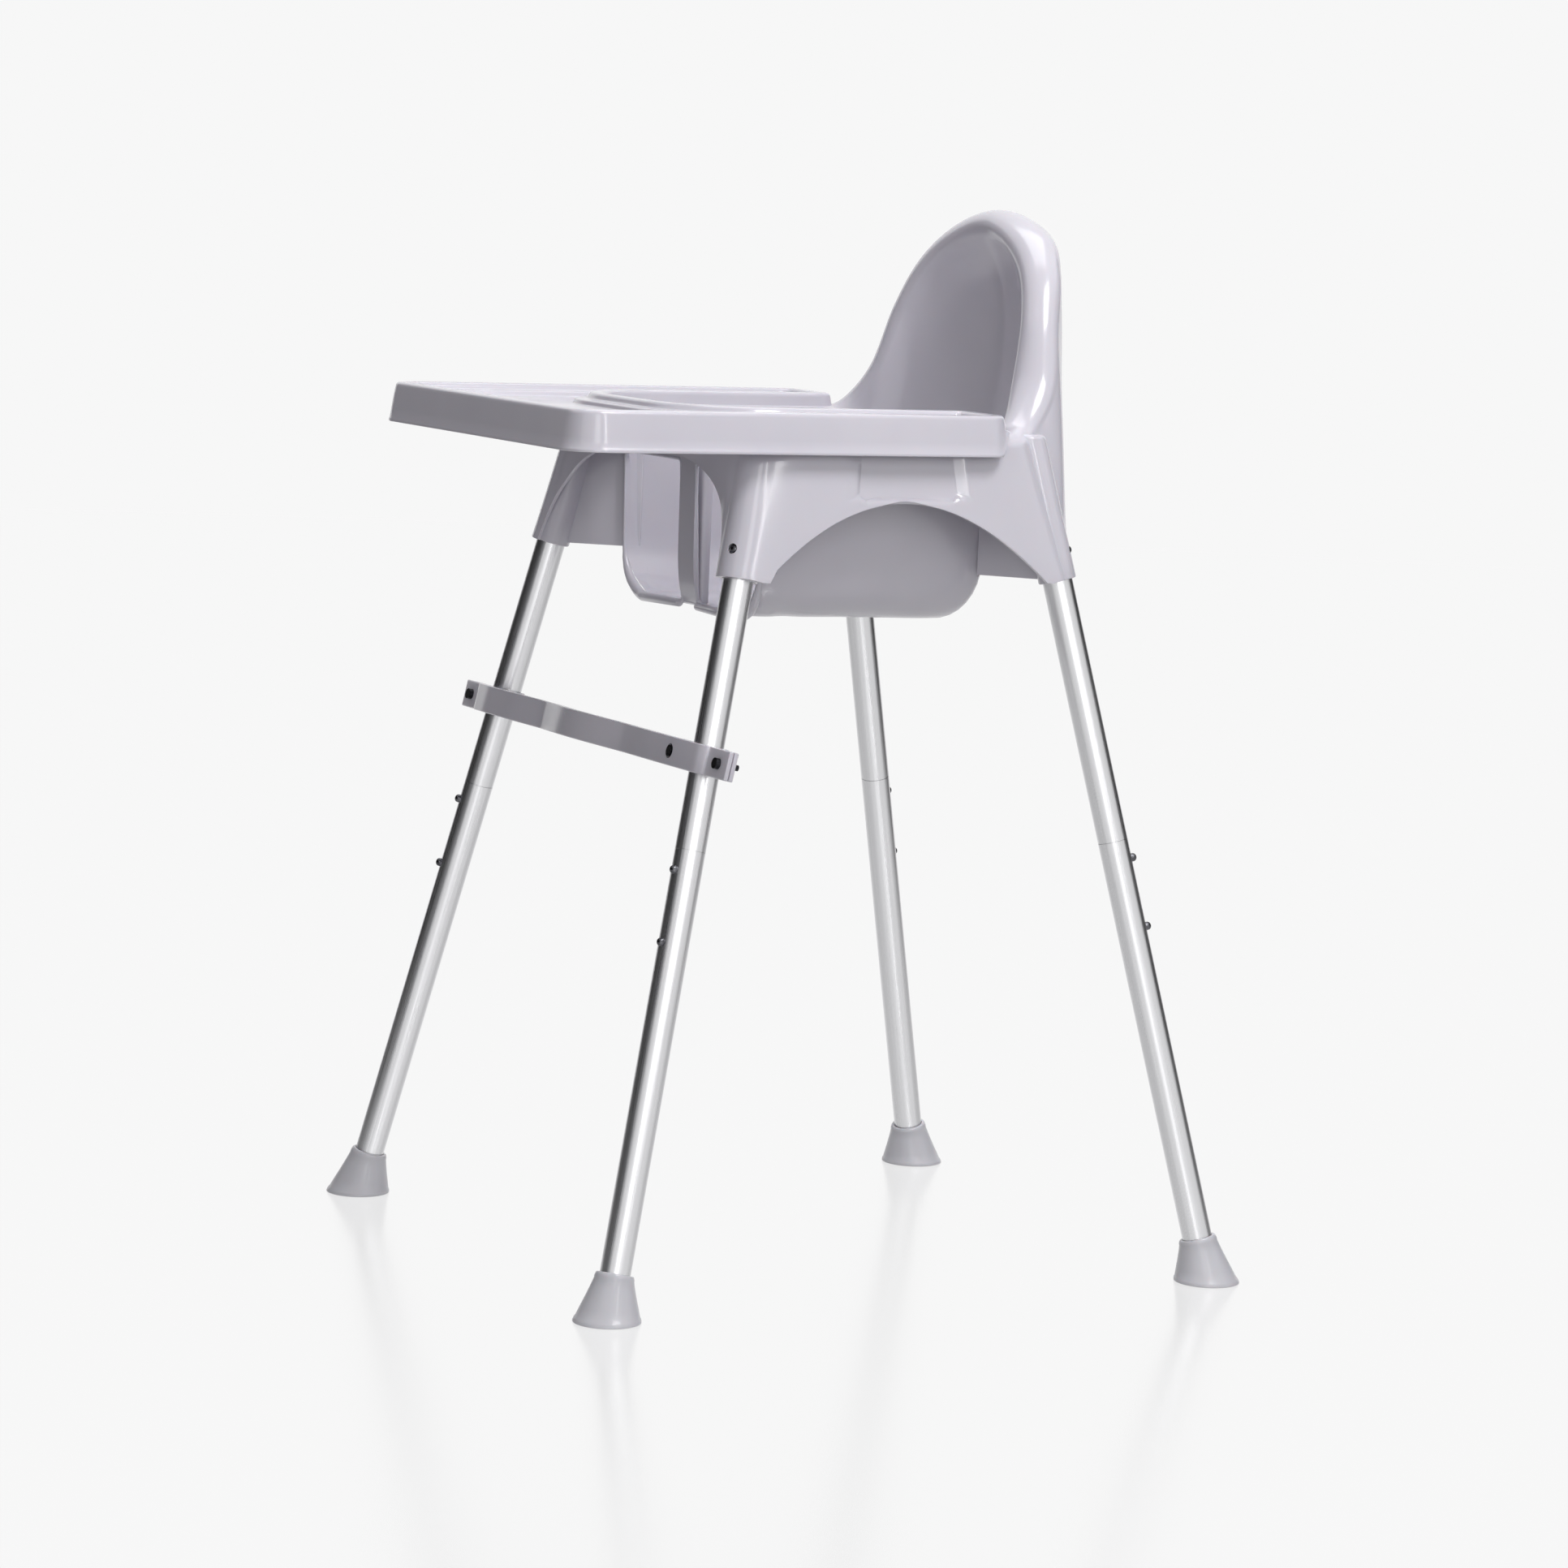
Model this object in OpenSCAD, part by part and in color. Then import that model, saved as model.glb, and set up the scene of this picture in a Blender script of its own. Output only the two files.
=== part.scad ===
// Baby high chair: a moulded seat shell on four splayed tube legs,
// with a lift-off tray and a bolted footrest. The chair faces -Y.

/* [Seat] */
// Height of the armrest rim above the floor
arm_h = 717.5; // [715:0.5:719]
// Wall thickness of the moulded seat
seat_wall = 3; // [2.5:0.5:4]
// Height of the underside of the bucket at the middle
bucket_low = 550; // [545:1:556]
// Height of the crown of the side arches
side_arch_crown = 656; // [640:1:665]
// Height of the crown of the front arch
front_arch_crown = 678; // [665:1:682]
// Width of the crotch post
post_w = 34; // [28:1:40]

/* [Legs] */
// Outer diameter of the leg tubes
tube_d = 25.4; // [25:0.1:25.8]
// Wall thickness of the leg tubes
tube_wall = 1.2; // [1:0.1:1.5]
// Height of the mouth of the seat sockets
socket_z = 593; // [588:1:598]
// Height of the joint between upper and lower tubes
joint_z = 374.5; // [360:0.5:390]
// Sideways distance of a foot from the middle
foot_x = 273; // [260:1:280]
// Fore and aft distance of a foot from the middle
foot_y = 281; // [270:1:285]

/* [Tray] */
// Half width of the tray at its top rim
tray_half_w = 207; // [203:1:208]
// Distance of the front rim of the tray from the middle
tray_front = 304; // [298:1:304]
// Height of the lower edge of the tray
tray_low = 697.5; // [695:0.5:700]
// Height of the top rim of the tray
tray_top = 731.6; // [729:0.1:735]

/* [Footrest] */
// Height of the middle of the footrest
rest_z = 448; // [440:1:455]
// Height of the footrest bar, top to bottom
rest_h = 24; // [22:1:28]
// Diameter of the clamp bolts
bolt_d = 5; // [4:0.5:6]

/* [Hidden] */

plastic = [0.77, 0.76, 0.80];
steel = [0.80, 0.80, 0.82];
dark = [0.15, 0.15, 0.16];
eps = 0.01;

// ---- Leg line ----
// A leg runs straight from its foot to its socket, leaning in by these slopes
socket_x = 191;
socket_y = 149.5;
lean_x = (foot_x - socket_x) / socket_z;
lean_y = (foot_y - socket_y) / socket_z;
tilt = atan(norm([lean_x, lean_y]));
tube_r = tube_d / 2;
sleeve_gap = 0.1;
sleeve_r = tube_r - tube_wall - sleeve_gap;
sleeve_wall = 1;
front_socket_r = 17.5;
rear_socket_r = 16;
socket_depth = 95;
bore_gap = 0.4;
foot_h = 38;
foot_top_r = 15;
foot_base_r = 28.5;
foot_pocket_z = 6;
// Snap buttons: height above or below the tube ends, and how far they turn off the splay line
hub_button_up = 23;
top_button_down = 17;
low_button_down = 75;
leg_button_turn = 17;
button_r = 3.6;
button_fit = 0.05;
button_tip = tube_r + 4.5;
hub_z = socket_z + hub_button_up;
top_z = joint_z - top_button_down;
low_z = joint_z - low_button_down;
sleeve_top = joint_z + 60;
sleeve_foot = joint_z - 110;

// Places a child on a leg line at height z, local Z up the tube and local X outwards
module on_leg(side, end, z, turn = 0) {
    lean_dir = atan2(-end * lean_y, -side * lean_x);
    translate([side * (foot_x - lean_x * z), end * (foot_y - lean_y * z), z])
        rotate([0, tilt, lean_dir])
            rotate([0, 0, 180 + turn * side * end])
                children();
}

// Length along a leg between two heights
function along(z0, z1) = (z1 - z0) / cos(tilt);

// ---- Loft helpers ----
// Smooth curve through four neighbours b and c, at t from 0 to 1
function spline(a, b, c, d, t) =
    0.5 * (2 * b + (c - a) * t + (2 * a - 5 * b + 4 * c - d) * t * t
        + (3 * b - a - 3 * c + d) * t * t * t);
function mix(a, b, t) = a + (b - a) * t;
function arc3(a, b, c, t) = mix(mix(a, b, t), mix(b, c, t), t);
function unit(v) = v / norm(v);

// ---- Seat shell ----
// Stations round half the seat, from the front middle to the back middle. Each row holds the
// bucket wall [x, y], the rim's inner and outer edge [x, y, z], the skirt's foot [x, y], how far
// the inner and outer walls bow rearwards between those, and the bucket's bottom corner radius.
arm_roll = 10;
rim_z = arm_h - arm_roll - seat_wall;
stations = [
    [[0, -108], [0, -109, rim_z], [0, -141, rim_z], [0, -167], 0, 0, 10],
    [[55, -108], [58, -109, rim_z], [75, -141, rim_z], [90, -167], 0, 0, 10],
    [[100, -108], [106, -109, rim_z], [140, -141, rim_z], [152, -167], 0, 0, 16],
    [[130, -107], [131, -108, rim_z], [168, -137, rim_z], [178, -167], 0, 0, 40],
    [[139, -95], [142, -96, rim_z], [185, -124, rim_z], [203, -161], 0, 0, 58],
    [[139, -66], [144, -68, rim_z], [192, -104, rim_z], [209, -138], 0, 0, 48],
    [[139, -40], [145, -45, rim_z], [193, -70, rim_z], [209, -90], 0, 0, 46],
    [[139, 0], [145, 0, rim_z], [193, 0, rim_z], [209, 0], 0, 0, 46],
    [[139, 40], [145, 50, rim_z], [193, 70, rim_z], [209, 90], 0, 0, 46],
    [[138, 74], [146, 96, rim_z], [193, 108, rim_z], [207, 138], 0, 0, 46],
    [[133, 100], [143, 118, 716], [185, 137, 714], [199, 158], 2, 2, 46],
    [[122, 114], [124, 137, 753], [150, 159, 751], [174, 164], 13, 6, 44],
    [[95, 122], [110, 151, 806], [130, 170, 806], [138, 166], 36, 15, 44],
    [[65, 124], [86, 160, 846], [107, 183, 846], [94, 168], 56, 22, 44],
    [[35, 125], [47, 165, 873], [66, 197, 873], [47, 169], 74, 28, 44],
    [[0, 125], [0, 167, 885], [0, 200, 885], [0, 169], 84, 30, 44]];
last = len(stations) - 1;
bucket_z = 604;
floor_z = bucket_low + seat_wall;
bucket_mid = [0, 10];
floor_drop = 0.014;
function floor_at(q) = floor_z - floor_drop * (q[1] - bucket_mid[1]);
skirt_z = 597;
back_roll = 12;
half_rings = 34;
rings = 2 * half_rings;

function flip(p) = len(p) == 3 ? [-p[0], p[1], p[2]] : [-p[0], p[1]];
function flip_row(r) = [flip(r[0]), flip(r[1]), flip(r[2]), flip(r[3]), r[4], r[5], r[6]];
function row_at(i) = i < 0 ? flip_row(stations[-i])
    : i > last ? flip_row(stations[2 * last - i]) : stations[i];
// The guide points at ring m, smoothed between stations
function guide(m) = m > half_rings ? flip_row(guide(rings - m)) :
    let (s = m / half_rings * last, i = min(floor(s), last - 1), t = s - i)
    [for (k = [0:6]) spline(row_at(i - 1)[k], row_at(i)[k], row_at(i + 1)[k], row_at(i + 2)[k], t)];

// Height of the skirt's lower edge above a point of its foot
side_arch_r = 167;
front_arch_half = 176;
function skirt_edge(p) =
    p[1] < 0 && abs(p[0]) < front_arch_half
        ? skirt_z + (front_arch_crown - skirt_z) * sqrt(1 - pow(abs(p[0]) / front_arch_half, 4))
    : abs(p[1]) < 130
        ? max(skirt_z, side_arch_crown - side_arch_r + sqrt(pow(side_arch_r, 2) - pow(p[1], 2)))
    : skirt_z;

function bow(depth) = [0, depth, 0.4 * depth];
function section(m) =
    let (g = guide(m), before = guide((m + rings - 1) % rings), after = guide((m + 1) % rings),
        wall = [g[0][0], g[0][1], bucket_z], inner = g[1], outer = g[2],
        foot = [g[3][0], g[3][1], socket_z],
        run = after[1] + after[2] - before[1] - before[2],
        up = unit(cross(outer - inner, run)),
        roll = arm_roll + (back_roll - arm_roll) * min(1, (max(inner[2], rim_z) - rim_z) / 60),
        edge = (outer[2] - skirt_edge(g[3])) / (outer[2] - socket_z),
        corner_from = 1 - g[6] / norm(g[0] - bucket_mid),
        wall_mid = (wall + inner) / 2 + bow(g[4]),
        skirt_mid = (outer + foot) / 2 + bow(g[5]))
    concat(
        [for (t = [0.5, 1]) let (q = mix(bucket_mid, g[0], t * corner_from)) [each q, floor_at(q)]],
        [for (a = [22.5:22.5:90])
            let (q = mix(bucket_mid, g[0], corner_from + (1 - corner_from) * sin(a)))
            [each q, mix(bucket_z, floor_at(q), cos(a))]],
        [for (t = [0.2:0.2:1]) arc3(wall, wall_mid, inner, t)],
        [for (a = [30:30:180])
            (inner + outer) / 2 - (outer - inner) / 2 * cos(a) + up * roll * sin(a)],
        [for (t = [0.18:0.164:1.001]) arc3(outer, skirt_mid, foot, t * edge)]);

sheet = [for (m = [0:rings - 1]) section(m)];
rows = len(sheet[0]);
// The same sheet moved out to its visible side by the wall thickness
function normal_at(m, j) =
    unit(cross(sheet[m][min(j + 1, rows - 1)] - sheet[m][max(j - 1, 0)],
        sheet[(m + 1) % rings][j] - sheet[(m + rings - 1) % rings][j]));
back_sheet = [for (m = [0:rings - 1]) [for (j = [0:rows - 1])
    sheet[m][j] + seat_wall * normal_at(m, j)]];

module seat_loft() {
    n = rings * rows;
    points = concat([for (s = sheet) each s], [for (s = back_sheet) each s],
        [[each bucket_mid, floor_z], [each bucket_mid, bucket_low]]);
    strips = [for (m = [0:rings - 1]) for (j = [0:rows - 2])
        let (a = m * rows + j, b = ((m + 1) % rings) * rows + j)
        each [[a, b + 1, b], [a, a + 1, b + 1],
            [n + a, n + b, n + b + 1], [n + a, n + b + 1, n + a + 1]]];
    lips = [for (m = [0:rings - 1])
        let (a = m * rows, b = ((m + 1) % rings) * rows, e = rows - 1)
        each [[a + e, n + b + e, b + e], [a + e, n + a + e, n + b + e],
            [2 * n, a, b], [2 * n + 1, n + b, n + a]]];
    polyhedron(points, concat(strips, lips));
}

leg_gap_low = 564;
leg_gap_half = 136;
leg_gap_r = 16;
leg_gap_hip_r = 44;
module leg_gap(side) {
    x0 = post_w / 2 + leg_gap_r;
    x1 = leg_gap_half - leg_gap_r;
    top = front_arch_crown - leg_gap_r;
    hull()
        for (c = [[x0, leg_gap_low + leg_gap_r, leg_gap_r], [x0, top, leg_gap_r], [x1, top, leg_gap_r],
                [leg_gap_half - leg_gap_hip_r, leg_gap_low + leg_gap_hip_r, leg_gap_hip_r]])
            translate([side * c[0], -84, c[1]])
                rotate([90, 0, 0])
                    cylinder(r = c[2], h = 32, $fn = 32);
}

// A flat wall from a socket to the bucket's corner
module web(side, end) {
    hull() {
        translate([side * 181, end * 141, socket_z])
            cylinder(d = seat_wall, h = 108, $fn = 16);
        translate([side * 136, end == -1 ? -88 : 102, socket_z])
            cylinder(d = seat_wall, h = 108, $fn = 16);
    }
}

module socket(side, end) {
    r = end == -1 ? front_socket_r : rear_socket_r;
    on_leg(side, end, socket_z)
        hull() {
            cylinder(r = r, h = 20, $fn = 40);
            translate([-1, 0, socket_depth + 3])
                cylinder(r = r - 0.5, h = 4, $fn = 40);
        }
}

// The two channel walls and the face of the crotch post, from the bucket lip to the front bridge
module crotch_post() {
    difference() {
        hull()
            for (x = [-1, 1], y = [-100, -90])
                translate([x * (post_w / 2 - 3), y - 4, leg_gap_low - 8])
                    cylinder(r = 3, h = 128, $fn = 16);
        translate([0, -87, leg_gap_low + 60])
            cube([post_w - 2 * seat_wall, 24, 200], center = true);
    }
}

module seat_shell() {
    color(plastic)
        difference() {
            union() {
                difference() {
                    seat_loft();
                    for (side = [-1, 1])
                        leg_gap(side);
                }
                crotch_post();
                for (side = [-1, 1], end = [-1, 1]) {
                    web(side, end);
                    socket(side, end);
                }
            }
            for (side = [-1, 1], end = [-1, 1]) {
                on_leg(side, end, socket_z)
                    translate([0, 0, -6])
                        cylinder(r = tube_r + bore_gap, h = socket_depth + 6, $fn = 48);
                on_leg(side, end, hub_z)
                    rotate([0, 90, 0])
                        cylinder(r = button_r + 0.9, h = 30, $fn = 24);
            }
        }
}

// ---- Tray ----
tray_corner_r = 26;
tray_rear = 92;
tray_rear_r = 22;
tray_bay_half = 122;
tray_bay_front = 161;
tray_bay_r = 75;
tray_arm_r = 16;
deck_under = 718.5;
deck_wall = 2.5;

// Points on a quarter turn about c, from angle a0 to a1
function turn_points(c, r, a0, a1, n) =
    [for (k = [0:n]) let (a = a0 + (a1 - a0) * k / n) c + r * [cos(a), sin(a)]];

// Plan outline of the tray grown by d, anticlockwise from the front middle
function half_outline(d) =
    let (w = tray_half_w + d, f = -tray_front - d, e = tray_rear + d,
        b = tray_bay_half - d, bf = -tray_bay_front + d,
        rc = max(tray_corner_r + d, 5), rr = max(tray_rear_r + d, 5), ra = max(tray_arm_r + d, 4),
        rb = tray_bay_r - d)
    concat(
        [[50, f], [100, f]],
        turn_points([w - rc, f + rc], rc, -90, 0, 8),
        [[w, -190], [w, -120], [w, -50], [w, 10]],
        turn_points([w - rr, e - rr], rr, 0, 90, 6),
        turn_points([b + ra, e - ra], ra, 90, 180, 4),
        [[b, 0], [b, -45]],
        turn_points([b - rb, bf + rb], rb, 0, -90, 8));
function outline(d) =
    let (h = half_outline(d), n = len(h))
    concat(h, [for (k = [n - 1:-1:0]) [-h[k][0], h[k][1]]]);

// The edge of the skirt is high where it passes over the armrests
function tray_edge(p, low) =
    let (lift = p[1] > -tray_front + 90 ? min(1, max(0, (tray_half_w + 1 - abs(p[0])) / 7)) : 0)
    low + lift * max(0, deck_under - low);

// Rings as [growth, height], from the deck's middle outwards over the rim and back under it
tray_rings = [
    [-32, 721.5], [-27, 722], [-25, 725.5], [-15, 726], [-12.5, 730.6], [-9, tray_top],
    [-4, tray_top], [-1, 730.4], [0, 727.5], [2.6, 712], [5, tray_low],
    [2.5, tray_low], [0, 712], [-2.5, 726.5], [-8, 729], [-11, 728.5], [-15, 723.3],
    [-26.5, 723], [-28, 719.3], [-32, 718.7]];

module tray() {
    rings3 = [for (r = tray_rings) [for (p = outline(r[0])) [p[0], p[1], tray_edge(p, r[1])]]];
    n = len(rings3[0]);
    top = len(tray_rings) - 1;
    sides = [for (i = [0:top - 1]) for (k = [0:n - 1])
        let (a = i * n + k, b = i * n + (k + 1) % n)
        each [[a, b, b + n], [a, b + n, a + n]]];
    color(plastic)
        polyhedron([for (r = rings3) each r],
            concat(sides, [[for (k = [n - 1:-1:0]) k]], [[for (k = [0:n - 1]) top * n + k]]));
}

// ---- Legs ----
module tube(r, wall, h) {
    difference() {
        cylinder(r = r, h = h, $fn = 64);
        translate([0, 0, -1])
            cylinder(r = r - wall, h = h + 2, $fn = 64);
    }
}

module button_hole(grow = 0) {
    rotate([0, 90, 0])
        cylinder(r = button_r + button_fit + grow, h = 25, $fn = 32);
}

module upper_leg(side, end) {
    color(steel)
        difference() {
            on_leg(side, end, joint_z + 0.2)
                tube(tube_r, tube_wall, along(joint_z, socket_z) + socket_depth - 2);
            on_leg(side, end, hub_z)
                button_hole();
        }
}

module lower_leg(side, end) {
    color(steel)
        difference() {
            on_leg(side, end, foot_pocket_z + 4)
                tube(tube_r, tube_wall, along(foot_pocket_z + 4, joint_z - 0.2));
            for (z = [top_z, low_z])
                on_leg(side, end, z, leg_button_turn)
                    button_hole();
        }
}

// Inner sleeve that joins the two tubes of a leg
module sleeve(side, end) {
    color(steel)
        difference() {
            on_leg(side, end, sleeve_foot)
                tube(sleeve_r, sleeve_wall, along(sleeve_foot, sleeve_top));
            for (z = [top_z, low_z])
                on_leg(side, end, z, leg_button_turn)
                    button_hole();
        }
}

module foot(side, end) {
    color(plastic)
        difference() {
            hull() {
                translate([side * foot_x, end * foot_y, 0])
                    cylinder(r = foot_base_r, h = 4, $fn = 48);
                on_leg(side, end, foot_h - 4)
                    cylinder(r = foot_top_r, h = 4, $fn = 32);
            }
            on_leg(side, end, foot_pocket_z + 3.9)
                cylinder(r = tube_r + 0.05, h = 60, $fn = 64);
        }
}

// ---- Snap buttons ----
// Domed pin on local X, with a flange that stops it inside the tube
flange_r = 4.8;
flange_in = 4;
flange_out = 6.6;
module snap_button(side, end, z, turn) {
    dome = 3;
    color(steel)
        on_leg(side, end, z, turn)
            rotate([0, 90, 0])
                rotate_extrude($fn = 32)
                    polygon(concat([[0, flange_in], [flange_r, flange_in], [flange_r, flange_out],
                        [button_r, flange_out], [button_r, button_tip - dome]],
                        [for (a = [18:18:90]) [button_r * cos(a), button_tip - dome + dome * sin(a)]]));
}

// Bent spring leaf behind a button, free to move inside the tube
leaf_w = 7;
leaf_t = 0.8;
module snap_spring(side, end, z, turn) {
    back_x = -3.4;
    bend_z = -26;
    bend_r = (flange_in - back_x) / 2;
    color(dark)
        on_leg(side, end, z, turn)
            rotate([90, 0, 0])
                linear_extrude(height = leaf_w, center = true)
                    union() {
                        translate([back_x, bend_z])
                            square([leaf_t, 38]);
                        translate([flange_in - leaf_t, bend_z])
                            square([leaf_t, -bend_z + flange_r - eps]);
                        translate([(back_x + flange_in) / 2, bend_z])
                            difference() {
                                circle(r = bend_r, $fn = 48);
                                circle(r = bend_r - leaf_t, $fn = 48);
                                translate([-10, 0])
                                    square([20, 10]);
                            }
                    }
}

// ---- Footrest ----
rest_y = foot_y - lean_y * rest_z;
leg_at_rest = foot_x - lean_x * rest_z;
bar_t = 13;
lug_t = 4;
lug_end = leg_at_rest + 62;
bolt_out = leg_at_rest + 46;
bolt_in = leg_at_rest - 29;
lug_y = -7.5;
clamp_y = lug_y + 2;
nut_w = 8;
nut_h = 4;
head_r = 4.6;
head_h = 4;

// Frame of the footrest: local XY across the legs, local Z up the slope of the front legs
module at_rest() {
    translate([0, -rest_y, rest_z])
        rotate([-atan(lean_y), 0, 0])
            children();
}

// Front face of the bar, from the middle bow over the valley to the end pad
function bar_face(x) =
    let (a = abs(x))
    a < 97 ? -20.5 - 8 * pow(cos(a / 97 * 90), 1.4)
    : a < 135 ? -20.5 - 1.5 * (1 - cos((a - 97) / 38 * 180)) / 2 : -22;

bar_steps = 26;
bar_half = leg_at_rest - 8;
module bar_plan() {
    xs = [for (k = [-bar_steps:bar_steps]) bar_half * k / bar_steps];
    polygon(concat([for (x = xs) [x, bar_face(x)]],
        [for (k = [len(xs) - 1:-1:0]) [xs[k], min(bar_face(xs[k]) + bar_t, lug_y)]]));
}

module leg_line(side, r) {
    on_leg(side, -1, rest_z - 60)
        cylinder(r = r, h = 125, $fn = 64);
}

module bolt_holes(r) {
    for (side = [-1, 1], x = [bolt_out, bolt_in])
        translate([side * x, 40, 0])
            rotate([90, 0, 0])
                cylinder(r = r, h = 100, $fn = 32);
}

module footrest_bar() {
    color(plastic)
        difference() {
            at_rest()
                difference() {
                    union() {
                        translate([0, 0, -rest_h / 2])
                            linear_extrude(height = rest_h)
                                bar_plan();
                        for (side = [-1, 1])
                            translate([side == 1 ? bar_half - 20 : -lug_end, lug_y - lug_t, -rest_h / 2])
                                cube([lug_end - bar_half + 20, lug_t, rest_h]);
                        for (side = [-1, 1])
                            translate([side * leg_at_rest - 17, lug_y - lug_t - 5, -rest_h / 2])
                                cube([34, 6, rest_h]);
                    }
                    bolt_holes(bolt_d / 2 + 0.1);
                    for (side = [-1, 1])
                        translate([side * bolt_in, lug_y - lug_t - 6, 0])
                            rotate([90, 0, 0])
                                cylinder(r = head_r + 1.5, h = 30, $fn = 32);
                }
            for (side = [-1, 1])
                leg_line(side, tube_r + 0.05);
        }
}

// Rear half of a clamp: two ears and a saddle behind the tube
module footrest_clamp(side) {
    color(plastic)
        difference() {
            at_rest()
                difference() {
                    union() {
                        translate([side * (bolt_out + bolt_in) / 2, clamp_y + lug_t / 2, 0])
                            cube([bolt_out - bolt_in + 26, lug_t, rest_h], center = true);
                        translate([side * leg_at_rest, clamp_y + 11, 0])
                            cube([34, 19, rest_h], center = true);
                    }
                    bolt_holes(bolt_d / 2 + 0.1);
                }
            leg_line(side, tube_r + 0.05);
        }
}

bolt_tail = clamp_y + lug_t + nut_h + 4;
module bolt(x, head_y) {
    translate([x, 0, 0])
        rotate([90, 0, 0]) {
            translate([0, 0, -bolt_tail])
                cylinder(r = bolt_d / 2, h = bolt_tail - head_y, $fn = 32);
            translate([0, 0, -head_y])
                cylinder(r = head_r, h = head_h, $fn = 32);
        }
}

module footrest_bolts() {
    color(dark)
        at_rest()
            for (side = [-1, 1]) {
                bolt(side * bolt_out, lug_y - lug_t);
                bolt(side * bolt_in, lug_y - lug_t - 6);
            }
}

module footrest_nuts() {
    color(dark)
        at_rest()
            for (side = [-1, 1], x = [bolt_out, bolt_in])
                translate([side * x, clamp_y + lug_t, 0])
                    rotate([-90, 0, 0])
                        difference() {
                            cylinder(r = nut_w / sqrt(3), h = nut_h, $fn = 6);
                            translate([0, 0, -1])
                                cylinder(r = bolt_d / 2 + 0.02, h = nut_h + 2, $fn = 32);
                        }
}

seat_shell();
tray();
upper_leg(1, -1);  // upper_leg_front_left
upper_leg(-1, -1);  // upper_leg_front_right
upper_leg(1, 1);  // upper_leg_rear_left
upper_leg(-1, 1);  // upper_leg_rear_right
lower_leg(1, -1);  // lower_leg_front_left
lower_leg(-1, -1);  // lower_leg_front_right
lower_leg(1, 1);  // lower_leg_rear_left
lower_leg(-1, 1);  // lower_leg_rear_right
sleeve(1, -1);  // sleeve_front_left
sleeve(-1, -1);  // sleeve_front_right
sleeve(1, 1);  // sleeve_rear_left
sleeve(-1, 1);  // sleeve_rear_right
foot(1, -1);  // foot_front_left
foot(-1, -1);  // foot_front_right
foot(1, 1);  // foot_rear_left
foot(-1, 1);  // foot_rear_right
snap_button(1, -1, hub_z, 0);  // hub_button_front_left
snap_button(-1, -1, hub_z, 0);  // hub_button_front_right
snap_button(1, 1, hub_z, 0);  // hub_button_rear_left
snap_button(-1, 1, hub_z, 0);  // hub_button_rear_right
snap_button(1, -1, top_z, leg_button_turn);  // top_button_front_left
snap_button(-1, -1, top_z, leg_button_turn);  // top_button_front_right
snap_button(1, 1, top_z, leg_button_turn);  // top_button_rear_left
snap_button(-1, 1, top_z, leg_button_turn);  // top_button_rear_right
snap_button(1, -1, low_z, leg_button_turn);  // low_button_front_left
snap_button(-1, -1, low_z, leg_button_turn);  // low_button_front_right
snap_button(1, 1, low_z, leg_button_turn);  // low_button_rear_left
snap_button(-1, 1, low_z, leg_button_turn);  // low_button_rear_right
snap_spring(1, -1, hub_z, 0);  // hub_spring_front_left
snap_spring(-1, -1, hub_z, 0);  // hub_spring_front_right
snap_spring(1, 1, hub_z, 0);  // hub_spring_rear_left
snap_spring(-1, 1, hub_z, 0);  // hub_spring_rear_right
snap_spring(1, -1, top_z, leg_button_turn);  // top_spring_front_left
snap_spring(-1, -1, top_z, leg_button_turn);  // top_spring_front_right
snap_spring(1, 1, top_z, leg_button_turn);  // top_spring_rear_left
snap_spring(-1, 1, top_z, leg_button_turn);  // top_spring_rear_right
snap_spring(1, -1, low_z, leg_button_turn);  // low_spring_front_left
snap_spring(-1, -1, low_z, leg_button_turn);  // low_spring_front_right
snap_spring(1, 1, low_z, leg_button_turn);  // low_spring_rear_left
snap_spring(-1, 1, low_z, leg_button_turn);  // low_spring_rear_right
footrest_bar();
footrest_clamp(1);  // footrest_clamp_left
footrest_clamp(-1);  // footrest_clamp_right
footrest_bolts();
footrest_nuts();
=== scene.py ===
"""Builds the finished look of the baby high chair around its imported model, one operator a piece."""

import math

import bmesh
import bpy
from bpy.props import FloatProperty, FloatVectorProperty, PointerProperty, StringProperty
from mathutils import Matrix, Vector
from mathutils.bvhtree import BVHTree


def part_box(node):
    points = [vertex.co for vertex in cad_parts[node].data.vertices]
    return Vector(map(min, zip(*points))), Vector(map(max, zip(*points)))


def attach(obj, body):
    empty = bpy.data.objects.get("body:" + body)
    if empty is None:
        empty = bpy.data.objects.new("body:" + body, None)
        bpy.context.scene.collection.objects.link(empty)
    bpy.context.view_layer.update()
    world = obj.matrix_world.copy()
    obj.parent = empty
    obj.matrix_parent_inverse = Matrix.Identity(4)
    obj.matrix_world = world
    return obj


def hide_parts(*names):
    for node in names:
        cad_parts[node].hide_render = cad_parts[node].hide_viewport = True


bl_info = {
    "name": "Baby High Chair",
    "version": (1, 0, 0),
    "blender": (4, 5, 0),
    "location": "3D View > Sidebar > High Chair",
    "description": "Moulded baby high chair with tube legs, lift-off tray and footrest",
    "category": "Add Mesh",
}

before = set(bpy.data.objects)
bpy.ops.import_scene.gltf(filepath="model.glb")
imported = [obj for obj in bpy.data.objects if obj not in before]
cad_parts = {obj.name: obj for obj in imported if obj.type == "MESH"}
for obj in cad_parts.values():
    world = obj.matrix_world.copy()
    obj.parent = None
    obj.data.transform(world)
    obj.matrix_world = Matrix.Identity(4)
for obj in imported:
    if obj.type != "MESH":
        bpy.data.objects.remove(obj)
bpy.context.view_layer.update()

MM = 0.001
CORNERS = (("front_left", 1, -1), ("front_right", -1, -1), ("rear_left", 1, 1), ("rear_right", -1, 1))


# ---- Places taken from the frame, in millimetres ----

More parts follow.
